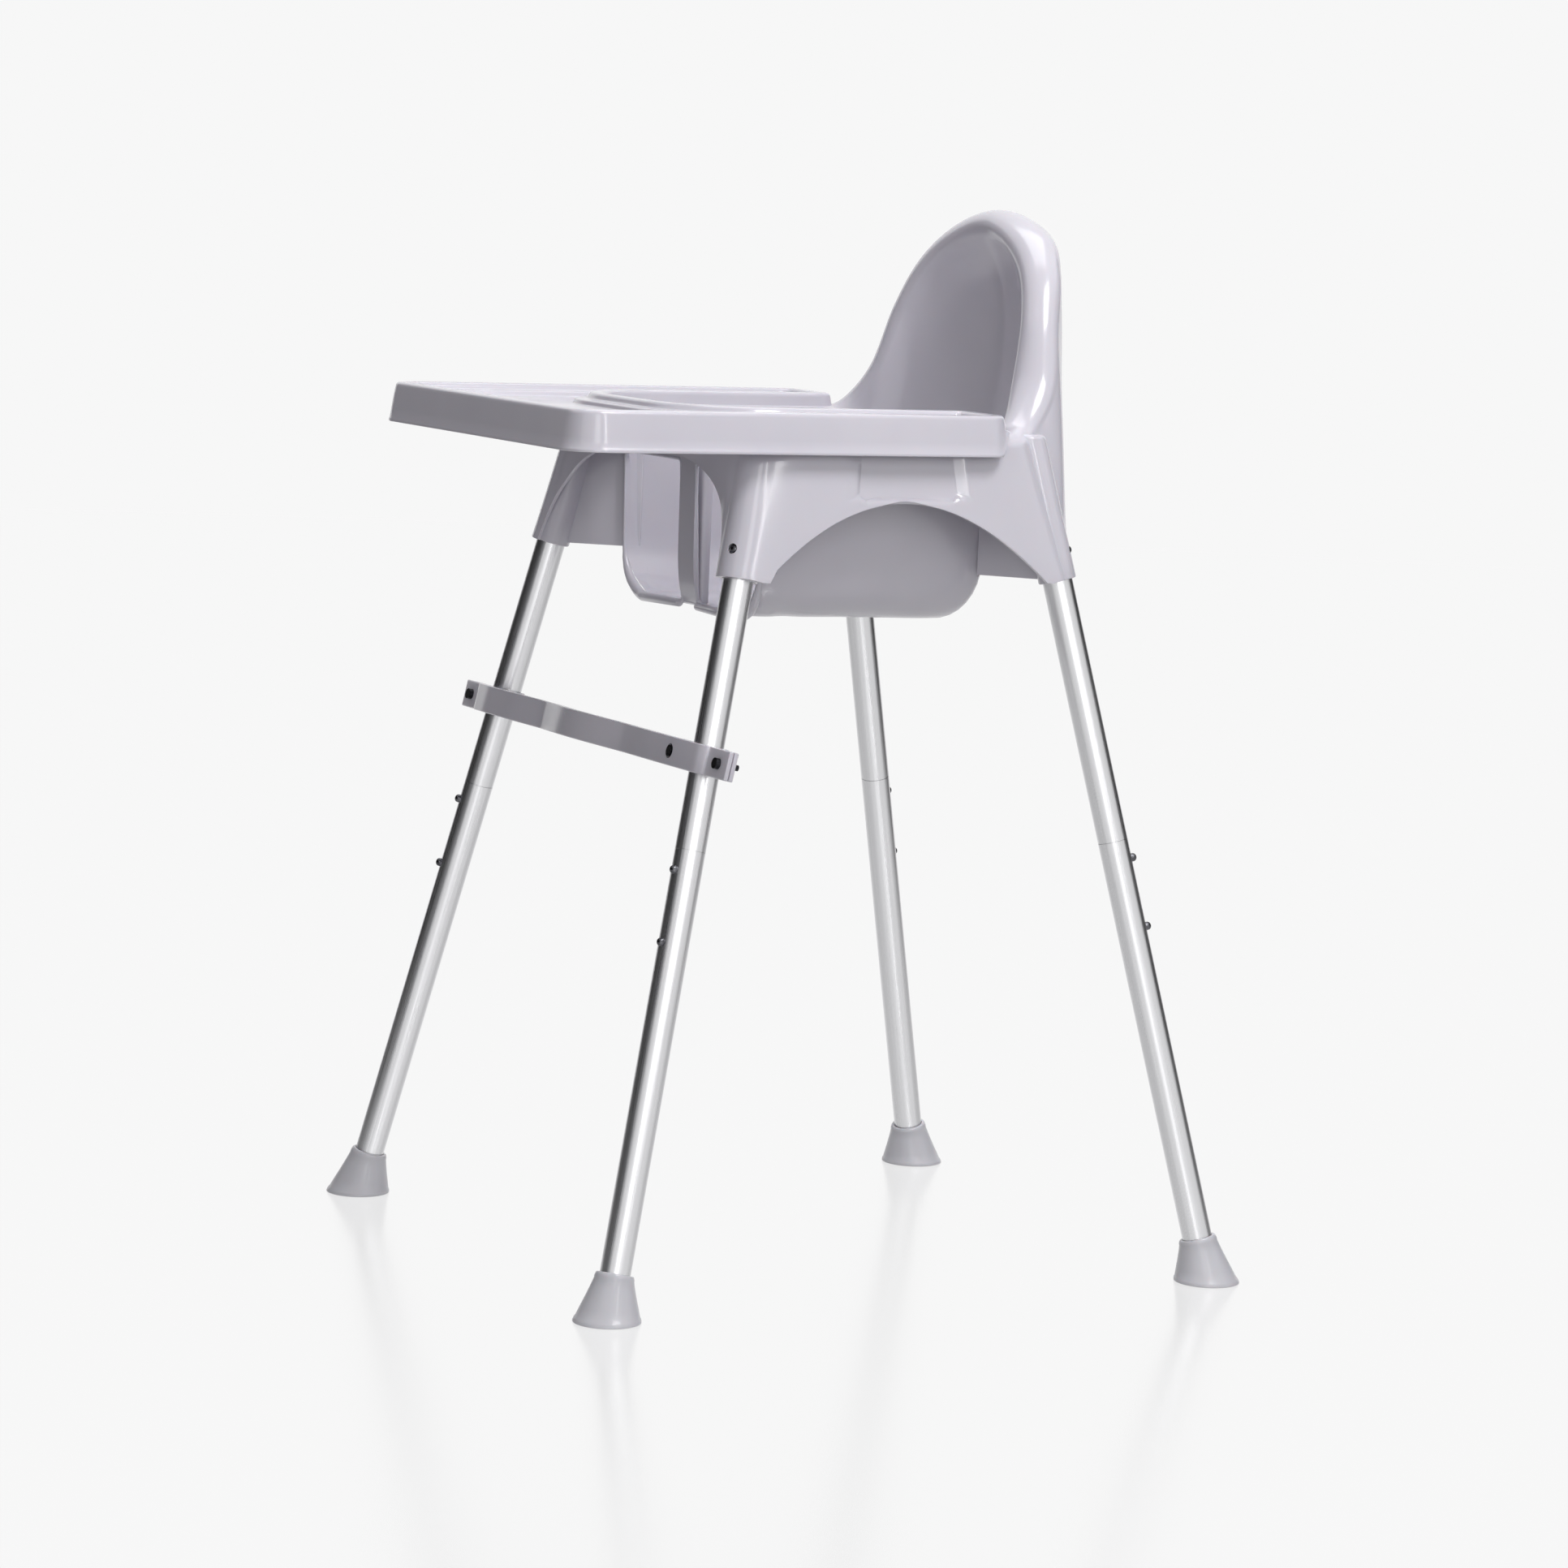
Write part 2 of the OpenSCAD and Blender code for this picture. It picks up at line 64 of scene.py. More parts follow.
def node_box(node):
    """Lowest and highest corner of a frame node, in millimetres."""
    low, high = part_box(node)
    return Vector(low) / MM, Vector(high) / MM


def foot_middle(name):
    low, high = node_box(f"foot_{name}")
    return Vector(((low.x + high.x) / 2, (low.y + high.y) / 2, 0))


FOOT = foot_middle("front_left")
SOCKET = Vector((191, 149.5, 593))
LEAN = Vector(((FOOT.x - SOCKET.x) / SOCKET.z, (-FOOT.y - SOCKET.y) / SOCKET.z))
TUBE_R = 12.7


def leg_point(side, end, z):
    """A point on the leg's middle line at height z."""
    return Vector((side * (FOOT.x - LEAN.x * z), end * (-FOOT.y - LEAN.y * z), z))


def leg_turn(side, end, turn=0.0):
    """Rotation that puts local Z up a leg and local X outwards."""
    tilt = math.atan(LEAN.length)
    heading = math.atan2(-end * LEAN.y, -side * LEAN.x)
    spin = math.pi + math.radians(turn) * side * end
    return (Matrix.Rotation(heading, 3, "Z") @ Matrix.Rotation(tilt, 3, "Y")
            @ Matrix.Rotation(spin, 3, "Z"))


# ---- Small maths ----

def mix(a, b, t):
    return a + (b - a) * t


def bow_curve(a, b, c, t):
    return mix(mix(a, b, t), mix(b, c, t), t)


def spline(a, b, c, d, t):
    """Smooth curve between b and c with neighbours a and d."""
    return 0.5 * (2 * b + (c - a) * t + (2 * a - 5 * b + 4 * c - d) * t * t
                  + (3 * b - a - 3 * c + d) * t ** 3)


def ramp(distance, width):
    """Soft step from 0 to 1 as distance grows from 0 to width."""
    t = min(1.0, max(0.0, distance / width))
    return t * t * (3 - 2 * t)


# ---- Mesh helpers ----

def surface(columns, rows, place):
    """A grid whose vertex at (column, row) goes to place(column, row), in millimetres."""
    bm = bmesh.new()
    bmesh.ops.create_grid(bm, x_segments=columns, y_segments=rows, size=0.5)
    for vert in bm.verts:
        column = round((vert.co.x + 0.5) * columns)
        row = round((vert.co.y + 0.5) * rows)
        vert.co = place(column, row) * MM
    bmesh.ops.remove_doubles(bm, verts=bm.verts, dist=1e-6)
    bmesh.ops.recalc_face_normals(bm, faces=bm.faces)
    return bm


def rounded_box(size, edge, segments=3):
    """A box of the given size about the origin with rounded edges, in millimetres."""
    bm = bmesh.new()
    bmesh.ops.create_cube(bm, size=1.0)
    bmesh.ops.scale(bm, vec=Vector(size) * MM, verts=bm.verts)
    bmesh.ops.bevel(bm, geom=bm.edges[:], offset=edge * MM, segments=segments, affect="EDGES",
                    profile=0.5, material=-1)
    return bm


def slab(plan, height, edge):
    """A flat shape with a plan outline, its height about the origin and rounded edges."""
    bm = bmesh.new()
    face = bm.faces.new([bm.verts.new(Vector((p[0], p[1], -height / 2)) * MM) for p in plan])
    grown = bmesh.ops.extrude_face_region(bm, geom=[face])
    up = [v for v in grown["geom"] if isinstance(v, bmesh.types.BMVert)]
    bmesh.ops.translate(bm, vec=Vector((0, 0, height * MM)), verts=up)
    bmesh.ops.recalc_face_normals(bm, faces=bm.faces)
    corners = [e for e in bm.edges if edge and e.calc_face_angle(0) > math.radians(40)]
    bmesh.ops.bevel(bm, geom=corners, offset=edge * MM, segments=4, affect="EDGES", profile=0.5,
                    material=-1, clamp_overlap=True)
    bmesh.ops.triangulate(bm, faces=[f for f in bm.faces if len(f.verts) > 4])
    return bm


def move(bm, rotation, place):
    """Turns a bmesh about the origin and moves it to a place in millimetres."""
    bmesh.ops.transform(bm, matrix=Matrix.Translation(place * MM) @ rotation.to_4x4(), verts=bm.verts)
    return bm


def join(parts):
    """Puts several bmeshes into one."""
    whole = bmesh.new()
    for part in parts:
        spare = bpy.data.meshes.new("spare")
        part.to_mesh(spare)
        part.free()
        whole.from_mesh(spare)
        bpy.data.meshes.remove(spare)
    return whole


def as_object(bm, name, sharp=40.0):
    """Turns a bmesh into a smooth-shaded object with sharp edges past an angle."""
    for face in bm.faces:
        face.smooth = True
    for edge in bm.edges:
        edge.smooth = len(edge.link_faces) == 2 and edge.calc_face_angle(0) < math.radians(sharp)
    mesh = bpy.data.meshes.new(name)
    bm.to_mesh(mesh)
    bm.free()
    piece = bpy.data.objects.new(name, mesh)
    bpy.context.scene.collection.objects.link(piece)
    return piece


def settle(piece):
    """Applies a piece's modifiers to its mesh."""
    graph = bpy.context.evaluated_depsgraph_get()
    done = bpy.data.meshes.new_from_object(piece.evaluated_get(graph))
    spare = piece.data
    piece.modifiers.clear()
    piece.data = done
    bpy.data.meshes.remove(spare)


def thicken(piece, wall, edge=0.0, side=1):
    """Gives an open sheet a wall towards its outer side, or behind it, and rounds its edges."""
    solid = piece.modifiers.new("wall", "SOLIDIFY")
    solid.thickness = wall * MM
    solid.offset = side
    solid.use_even_offset = True
    if edge:
        bevel = piece.modifiers.new("edge", "BEVEL")
        bevel.width = edge * MM
        bevel.segments = 3
        bevel.limit_method = "ANGLE"
        bevel.angle_limit = math.radians(50)
    settle(piece)


def cut(piece, cutter):
    """Takes a cutter's shape out of a piece and removes the cutter."""
    boolean = piece.modifiers.new("cut", "BOOLEAN")
    boolean.operation = "DIFFERENCE"
    boolean.solver = "EXACT"
    boolean.use_self = True
    boolean.object = cutter
    settle(piece)
    bpy.data.objects.remove(cutter)


def resharp(piece, sharp=40.0):
    """Marks smooth and sharp edges again after a cut."""
    bm = bmesh.new()
    bm.from_mesh(piece.data)
    for face in bm.faces:
        face.smooth = True
    for edge in bm.edges:
        edge.smooth = len(edge.link_faces) == 2 and edge.calc_face_angle(0) < math.radians(sharp)
    bm.to_mesh(piece.data)
    bm.free()


def finish_piece(piece, body, slot, material, *nodes):
    """Sets a piece's material, the body it rides on and the frame nodes it stands for."""
    piece.data.materials.clear()
    piece.data.materials.append(material)
    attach(piece, body)
    if nodes:
        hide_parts(*nodes)


# ---- Materials ----

def linear(hex_colour):
    """Linear RGBA from an sRGB hex colour."""
    parts = [int(hex_colour[i:i + 2], 16) / 255 for i in (1, 3, 5)]
    return [c / 12.92 if c <= 0.04045 else ((c + 0.055) / 1.055) ** 2.4 for c in parts] + [1.0]


def add(tree, kind, links=(), **values):
    """Adds a node, sets its fields and inputs, and links (output socket, input name) pairs."""
    node = tree.nodes.new(kind)
    for key, value in values.items():
        if hasattr(node, key):
            setattr(node, key, value)
        else:
            node.inputs[key.replace("_", " ")].default_value = value
    for source, target in links:
        tree.links.new(source, node.inputs[target])
    return node


def new_material(name):
    material = bpy.data.materials.get(name) or bpy.data.materials.new(name)
    material.use_nodes = True
    material.node_tree.nodes.clear()
    return material


def close_material(tree, shader):
    add(tree, "ShaderNodeOutputMaterial", [(shader.outputs[0], "Surface")])


def tone(tree, vector, feature_mm, low, high, detail=2.0):
    """Noise of a real feature size, turned into a value between low and high."""
    noise = add(tree, "ShaderNodeTexNoise", [(vector, "Vector")], Scale=1 / (feature_mm * MM),
                Detail=detail)
    return add(tree, "ShaderNodeMapRange", [(noise.outputs["Fac"], "Value")],
               From_Min=0.3, From_Max=0.7, To_Min=low, To_Max=high).outputs["Result"]


def polypropylene(name, light, dark, rough, peel=0.02):
    """Injection-moulded polypropylene: an even pale body, a soft polished skin that mirrors lamps a
    little blurred, and the faint orange peel of a steel mould."""
    material = new_material(name)
    tree = material.node_tree
    where = add(tree, "ShaderNodeTexCoord").outputs["Object"]
    drift = tone(tree, where, 90, 0.0, 1.0)
    colour = add(tree, "ShaderNodeMix", [(drift, 0)], data_type="RGBA")
    colour.inputs[6].default_value = linear(light)
    colour.inputs[7].default_value = linear(dark)
    skin = tone(tree, where, 60, rough * 0.94, rough * 1.06)
    # The peel is about 1.5 mm across, drawn a little coarse so that it can be seen
    ripple = add(tree, "ShaderNodeTexNoise", [(where, "Vector")], Scale=1 / (2.2 * MM), Detail=1.5)
    bump = add(tree, "ShaderNodeBump", [(ripple.outputs["Fac"], "Height")],
               Strength=peel, Distance=0.15 * MM)
    shader = add(tree, "ShaderNodeBsdfPrincipled",
                 [(colour.outputs[2], "Base Color"), (skin, "Roughness"), (bump.outputs[0], "Normal")],
                 IOR=1.49, Coat_Weight=0.25, Coat_Roughness=0.12,
                 Subsurface_Weight=0.06, Subsurface_Scale=0.004)
    close_material(tree, shader)
    return material


def drawn_tube(name, colour, rough, turn):
    """Drawn and polished steel tube: bright metal with fine die lines running along the tube, which
    stretch each reflection across it."""
    material = new_material(name)
    tree = material.node_tree
    where = add(tree, "ShaderNodeTexCoord").outputs["Object"]
    # Lines 0.4 mm apart across the tube and about 120 mm long down it
    along = add(tree, "ShaderNodeMapping", [(where, "Vector")], vector_type="TEXTURE",
                Rotation=turn.to_euler()).outputs[0]
    lines = add(tree, "ShaderNodeMapping", [(along, "Vector")], Scale=(1.0, 1.0, 0.006)).outputs[0]
    streak = add(tree, "ShaderNodeTexNoise", [(lines, "Vector")], Scale=1 / (0.7 * MM), Detail=2.0)
    polish = add(tree, "ShaderNodeMapRange", [(streak.outputs["Fac"], "Value")],
                 From_Min=0.25, From_Max=0.75, To_Min=rough * 0.8, To_Max=rough * 1.3)
    shade = add(tree, "ShaderNodeMix", [(streak.outputs["Fac"], 0)], data_type="RGBA")
    shade.inputs[6].default_value = linear(colour)
    shade.inputs[7].default_value = [c * 0.88 for c in linear(colour)[:3]] + [1.0]
    bump = add(tree, "ShaderNodeBump", [(streak.outputs["Fac"], "Height")],
               Strength=0.08, Distance=0.02 * MM)
    shader = add(tree, "ShaderNodeBsdfPrincipled",
                 [(shade.outputs[2], "Base Color"), (polish.outputs["Result"], "Roughness"),
                  (bump.outputs[0], "Normal")], Metallic=1.0)
    close_material(tree, shader)
    return material


def plated_steel(name, light, dark, rough, speck_mm):
    """Small pressed or turned steel part with a plated or blackened skin: dark metal, brighter where
    the skin is thin, with a fine uneven polish."""
    material = new_material(name)
    tree = material.node_tree
    where = add(tree, "ShaderNodeTexCoord").outputs["Object"]
    worn = tone(tree, where, speck_mm * 4, 0.0, 1.0, 4.0)
    colour = add(tree, "ShaderNodeMix", [(worn, 0)], data_type="RGBA")
    colour.inputs[6].default_value = linear(dark)
    colour.inputs[7].default_value = linear(light)
    polish = tone(tree, where, speck_mm, rough * 0.8, rough * 1.3)
    shader = add(tree, "ShaderNodeBsdfPrincipled",
                 [(colour.outputs[2], "Base Color"), (polish, "Roughness")], Metallic=1.0)
    close_material(tree, shader)
    return material


# ---- Settings ----

class ChairSizes(bpy.types.PropertyGroup):
    arm_height: FloatProperty(
        name="Armrest height", description="Top of the armrest rim above the floor", default=717.5)
    wall: FloatProperty(name="Seat wall", description="Thickness of the moulded wall", default=3.0)
    side_crown: FloatProperty(
        name="Side arch", description="Height of the side arches' crown", default=657.5)
    front_crown: FloatProperty(
        name="Front arch", description="Height of the front arch's crown", default=687.0)
    pocket: FloatProperty(
        name="Side pocket", description="Depth of the pocket over a side arch", default=3.4)
    tray_half: FloatProperty(
        name="Tray half width", description="Half width of the tray's rim", default=207.0)
    tray_front: FloatProperty(
        name="Tray front", description="How far the tray's rim reaches forwards", default=304.0)


class ChairColours(bpy.types.PropertyGroup):
    shell: StringProperty(name="Shell", description="Colour of the seat and tray", default="#C6C3CC")
    shell_deep: StringProperty(
        name="Shell shade", description="Deeper tone of the shell", default="#C1BEC8")
    foot: StringProperty(name="Feet", description="Colour of the feet", default="#C6C5CB")
    foot_deep: StringProperty(
        name="Feet shade", description="Deeper tone of the feet", default="#BDBCC3")
    tube: StringProperty(name="Tubes", description="Colour of the leg tubes", default="#DADADC")
    floor: StringProperty(
        name="Floor", description="Colour of the floor and backdrop", default="#F7F7F7")


class StageSettings(bpy.types.PropertyGroup):
    camera_place: FloatVectorProperty(
        name="Camera place", description="Where the camera stands",
        default=(4.077, -2.030, 0.9455), subtype="XYZ", unit="LENGTH")
    azimuth: FloatProperty(
        name="Azimuth", description="Turn of the view about Z, in degrees", default=63.59)
    pitch: FloatProperty(
        name="Pitch", description="How far the camera looks down, in degrees", default=6.85)
    roll: FloatProperty(
        name="Roll", description="Turn of the camera about its view, in degrees", default=2.32)
    lens: FloatProperty(
        name="Lens", description="Focal length on a 36 mm sensor, in mm", default=121.36)


# ---- Seat shell ----

ROLL = 10.0
BACK_ROLL = 12.0
BUCKET_Z = 604.0
FLOOR_Z = 553.0
FLOOR_DROP = 0.014
BUCKET_MID = Vector((0, 10))
FRONT_ARCH_HALF = 184.0
SIDE_ARCH_R = 167.0
SIDE_ARCH_MID = -4.0
SIDE_ARCH_FRONT = -129.0
SIDE_ARCH_REAR = 127.0
POCKET_HALF = 49.0
COLUMN_R = 12.8
COLUMN_VISIBLE_R = 16.1
FRONT_SHOULDER = 100.0
REAR_SHOULDER = 122.5
COLUMN_BLEND = 5.0
BUTTON_HOLE_R = 4.4
SHELL_ROUGH = 0.2
FOOT_ROUGH = 0.38
TUBE_ROUGH = 0.3


def seat_stations(rim):
    """Guide rows round half the seat, front middle to back middle: bucket wall, rim inside, rim
    outside, skirt foot, inner bow, outer bow and the bucket's bottom corner radius."""
    return [
        [(0, -108), (0, -109, rim), (0, -141, rim), (0, -152), 0, 0, 10],
        [(55, -108), (58, -109, rim), (75, -141, rim), (90, -152), 0, 0, 10],
        [(100, -108), (106, -109, rim), (140, -141, rim), (152, -155), 0, 0, 16],
        [(130, -107), (131, -108, rim), (168, -137, rim), (178, -162), 0, 0, 40],
        [(139, -95), (142, -96, rim), (185, -124, rim), (200.5, -159), 0, 0, 58],
        [(139, -66), (144, -68, rim), (192, -104, rim), (209, -138), 0, 0, 48],
        [(139, -40), (145, -45, rim), (193, -70, rim), (209, -90), 0, 0, 46],
        [(139, 0), (145, 0, rim), (193, 0, rim), (209, 0), 0, 0, 46],
        [(139, 40), (145, 50, rim), (193, 70, rim), (209, 90), 0, 0, 46],
        [(138, 74), (146, 96, rim), (193, 108, rim), (207, 138), 0, 0, 46],
        [(133, 100), (143, 118, 716), (168, 133, 716), (196, 157), 2, 2, 46],
        [(122, 114), (124, 137, 753), (150, 159, 751), (174, 164), 13, 6, 44],
        [(95, 122), (110, 151, 806), (130, 170, 806), (138, 166), 36, 15, 44],
        [(65, 124), (86, 160, 846), (107, 183, 846), (94, 168), 56, 22, 44],
        [(35, 125), (47, 165, 873), (66, 197, 873), (47, 169), 74, 28, 44],
        [(0, 125), (0, 167, 885), (0, 200, 885), (0, 169), 84, 30, 44]]


def flip(value):
    """A point mirrored to the other side; plain numbers stay."""
    return value if isinstance(value, float) else Vector((-value[0], *value[1:]))


class SeatShape:
    """Evaluates the seat's smooth surface from its guide rows."""

    def __init__(self, sizes):
        self.sizes = sizes
        self.rim = sizes.arm_height - ROLL - sizes.wall
        self.rows = [[Vector(v) if isinstance(v, tuple) else float(v) for v in row]
                     for row in seat_stations(self.rim)]
        self.last = len(self.rows) - 1

    def row(self, i):
        if i < 0:
            return [flip(v) for v in self.rows[-i]]
        if i > self.last:
            return [flip(v) for v in self.rows[2 * self.last - i]]
        return self.rows[i]

    def guide(self, s):
        s %= 2 * self.last
        if s > self.last:
            return [flip(v) for v in self.guide(2 * self.last - s)]
        i = min(int(s), self.last - 1)
        near = [self.row(i + k) for k in (-1, 0, 1, 2)]
        return [spline(*(row[k] for row in near), s - i) for k in range(7)]

    def column_places(self, even):
        """Places round the seat for the mesh's columns: evenly spread, and close at the pockets' sides."""
        turn = 2 * self.last
        places = [turn * k / even for k in range(even)]
        for edge in (-POCKET_HALF, POCKET_HALF):
            low, high = 5.0, 9.0
            while high - low > 1e-4:
                middle = (low + high) / 2
                low, high = (middle, high) if self.guide(middle)[3].y < edge else (low, middle)
            for k in range(-3, 4):
                place = low + k * 0.012
                places += [place, turn - place]
        return sorted(places)

    def edge(self, foot):
        """Height of the skirt's lower edge over a point of its foot."""
        aside, along = abs(foot.x), abs(foot.y)
        lean = LEAN.x * (aside - SOCKET.x) + LEAN.y * (along - SOCKET.y)
        from_leg = math.hypot(aside - SOCKET.x, along - SOCKET.y)
        hem = SOCKET.z + min(6.0, max(-5.0, lean)) * (1 - ramp(from_leg - 20, 12))
        if foot.y < 0 and aside < FRONT_ARCH_HALF:
            crown = self.sizes.front_crown - SOCKET.z
            return max(hem, SOCKET.z + crown * math.sqrt(1 - (aside / FRONT_ARCH_HALF) ** 4))
        from_crown = abs(foot.y - SIDE_ARCH_MID)
        if SIDE_ARCH_FRONT < foot.y < SIDE_ARCH_REAR:
            return max(hem, self.sizes.side_crown - SIDE_ARCH_R
                       + math.sqrt(SIDE_ARCH_R ** 2 - from_crown ** 2))
        return hem

    def relief(self, point):
        """How far the side wall is set in for the pocket over its arch."""
        if abs(point.x) < 150:
            return 0.0
        corner = math.hypot(max(0, abs(point.y) - POCKET_HALF + 9), max(0, 668 - point.z))
        return self.sizes.pocket * ramp(10.4 - corner, 2.6)

    def column(self, point):
        """Pushes a point of the skirt out to the round column over a front leg, with a soft blend."""
        if point.y > -80 or abs(point.x) < 140:
            return point
        axis = leg_point(math.copysign(1, point.x), -1, point.z)
        away = (point - axis).xy
        short = COLUMN_R - away.length
        push = (short + math.hypot(short, COLUMN_BLEND)) / 2 * (1 - ramp(point.z - 690, 14))
        return point + Vector((*away.normalized(), 0)) * push

    def section(self, s, step, counts):
        """Points of one section, from the bucket's middle out over the rim and down the skirt."""
        g, before, after = self.guide(s), self.guide(s - step), self.guide(s + step)
        wall = Vector((g[0].x, g[0].y, BUCKET_Z))
        inner, outer = g[1], g[2]
        foot = Vector((g[3].x, g[3].y, SOCKET.z))
        run = after[1] + after[2] - before[1] - before[2]
        up = (outer - inner).cross(run).normalized()
        roll = ROLL + (BACK_ROLL - ROLL) * min(1.0, max(0.0, inner.z - self.rim) / 60)
        reach = (outer.z - self.edge(g[3])) / (outer.z - SOCKET.z)
        wall_mid = (wall + inner) / 2 + g[4] * Vector((0, 1, 0.4))
        skirt_mid = (outer + foot) / 2 + g[5] * Vector((0, 1, 0.4))
        flat = 1 - g[6] / (g[0] - BUCKET_MID).length
        floor_n, corner_n, wall_n, roll_n, skirt_n = counts

        def on_floor(t, a):
            q = mix(BUCKET_MID, g[0], t)
            low = FLOOR_Z - FLOOR_DROP * (q.y - BUCKET_MID.y)
            return Vector((q.x, q.y, mix(BUCKET_Z, low, math.cos(a))))

        points = [on_floor(flat * k / floor_n, 0) for k in range(floor_n + 1)]
        for k in range(1, corner_n + 1):
            a = math.pi / 2 * k / corner_n
            points.append(on_floor(flat + (1 - flat) * math.sin(a), a))
        points += [bow_curve(wall, wall_mid, inner, k / wall_n) for k in range(1, wall_n + 1)]
        for k in range(1, roll_n + 1):
            a = math.pi * k / roll_n
            points.append((inner + outer) / 2 - (outer - inner) / 2 * math.cos(a) + up * roll * math.sin(a))
        for k in range(1, skirt_n + 1):
            point = bow_curve(outer, skirt_mid, foot, reach * k / skirt_n)
            point.x -= math.copysign(self.relief(point), point.x)
            points.append(self.column(point))
        return points


GAP_LOW = 558.0
GAP_TOP = 678.0
GAP_HALF = 136.0
GAP_R = 15.0
GAP_HIP_R = 44.0
POST_W = 31.0
LIP_THIN = 1.5
LIP_THICK = 4.6


def gap_outline(top, count):
    """Outline of a leg opening in the front plane as (x, z, outward direction), anticlockwise."""
    left, right = POST_W / 2, GAP_HALF
    corners = [(right - GAP_HIP_R, GAP_LOW + GAP_HIP_R, GAP_HIP_R, -90),
               (right - GAP_R, top - GAP_R, GAP_R, 0),
               (left + 4, top - 4, 4, 90), (left + 3, GAP_LOW + 3, 3, 180)]
    path = []
    for cx, cz, radius, start in corners:
        for k in range(count + 1):
            a = math.radians(start + 90 * k / count)
            out = Vector((math.cos(a), math.sin(a)))
            path.append((cx + radius * out.x, cz + radius * out.y, out))
    return path


def gap_cutter(side, top):
    """A prism through the front wall in the shape of a leg opening."""
    bm = slab([(x, z) for x, z, _ in gap_outline(top, 16)], 36, 0)
    move(bm, Matrix.Rotation(math.pi / 2, 3, "X"), Vector((0, -103, 0)))
    if side < 0:
        bmesh.ops.scale(bm, vec=(-1, 1, 1), verts=bm.verts)
        bmesh.ops.reverse_faces(bm, faces=bm.faces)
    return bm


def button_cutter(name, side, end, radius):
    """A pin across a leg where its seat button comes out."""
    bm = bmesh.new()
    bmesh.ops.create_cone(bm, cap_ends=True, segments=32, radius1=radius * MM, radius2=radius * MM,
                          depth=30 * MM)
    low, high = node_box(f"hub_button_{name}")
    push = Matrix.Rotation(math.pi / 2, 3, "Y")
    move(bm, leg_turn(side, end) @ push, (low + high) / 2 + leg_turn(side, end) @ Vector((8, 0, 0)))
    return bm


def socket_shape(side, end):
    """A leg socket: a thick sleeve square to the leg at its mouth, with a level top."""
    outer, inner = COLUMN_VISIBLE_R, TUBE_R + 0.4
    top = FRONT_SHOULDER if end < 0 else REAR_SHOULDER
    profile = [(0.01, 92), (inner, 92), (inner, 1.0), (inner + 0.3, 0.3), (inner + 0.8, 0),
               (outer - 0.8, 0), (outer - 0.25, 0.3), (outer, 1.0), (outer, 20), (outer, 60),
               (outer, top - 4), (outer - 0.4, top - 2.4), (outer - 1.6, top - 0.9), (outer - 3.5, top),
               (0.01, top)]
    turn, mouth = leg_turn(side, end), leg_point(side, end, SOCKET.z)
    segments = 64

    def place(c, r):
        radius, height = profile[r]
        a = 2 * math.pi * c / segments
        ring = Vector((radius * math.cos(a), radius * math.sin(a), 0))
        square = mouth + turn @ (ring + Vector((0, 0, height)))
        level = leg_point(side, end, SOCKET.z + height) + Matrix.Rotation(turn.to_euler().z, 3, "Z") @ ring
        return mix(square, level, ramp(height - 20, 40) if outer - radius < 4 or height > 95 else 0.0)

    return surface(segments, len(profile) - 1, place)


def web_shape(side, end, wall):
    """The flat wall from a socket to the bucket's corner."""
    a = Vector((side * 181, end * 141, 0))
    b = Vector((side * 136, -88 if end < 0 else 102, 0))
    run = b - a
    bm = rounded_box((run.length, wall, 108), 1.0, 2)
    turn = Matrix.Rotation(math.atan2(run.y, run.x), 3, "Z")
    return move(bm, turn, (a + b) / 2 + Vector((0, 0, SOCKET.z + 54)))


def post_shape(wall):
    """The crotch post: a channel open to the rear, with a rounded face."""
    half = POST_W / 2
    plan = [(-half, -92), (-half, -96), (-half + 0.8, -99), (-half + 3, -101), (0, -101.6),
            (half - 3, -101), (half - 0.8, -99), (half, -96), (half, -92)]
    heights = [556, 562, 600, 640, 684]
    bm = surface(len(plan) - 1, len(heights) - 1,
                 lambda c, r: Vector((plan[c][0], plan[c][1], heights[r])))
    for face in bm.faces:
        if abs(face.calc_center_median().x) < 2 * MM and face.normal.y > 0:
            bmesh.ops.reverse_faces(bm, faces=bm.faces)
            break
    piece = as_object(bm, "post_sheet")
    thicken(piece, wall, 0.8, -1)
    solid = bmesh.new()
    solid.from_mesh(piece.data)
    bpy.data.objects.remove(piece)
    return solid


def lip_shape(side, top, wall_tree):
    """The rolled lip round a leg opening, laid on the front wall: thick under the thigh, thin elsewhere."""
    path = gap_outline(top, 16)
    count, around = len(path), 16

    def place(c, r):
        x, z, out = path[c % count]
        low = ramp(GAP_LOW + GAP_HIP_R - z, GAP_HIP_R) * ramp(x - POST_W / 2, 5)
        bead = mix(LIP_THIN, LIP_THICK, low)
        a = 2 * math.pi * r / around
        reach = bead * (1 + math.cos(a)) - 0.6
        y = wall_y(wall_tree, x - out.x, z - out.y) - (bead - LIP_THIN) + bead * math.sin(a)
        return Vector((side * (x + out.x * reach), y, z + out.y * reach))

    return surface(count, around, place)


def wall_y(tree, x, z):
    """Where the bucket's front wall stands at a place in the front plane."""
    hit = tree.ray_cast(Vector((x, -128, z)) * MM, Vector((0, 1, 0)))[0]
    return hit.y / MM + 0.8 if hit and hit.y / MM < -60 else -100.0


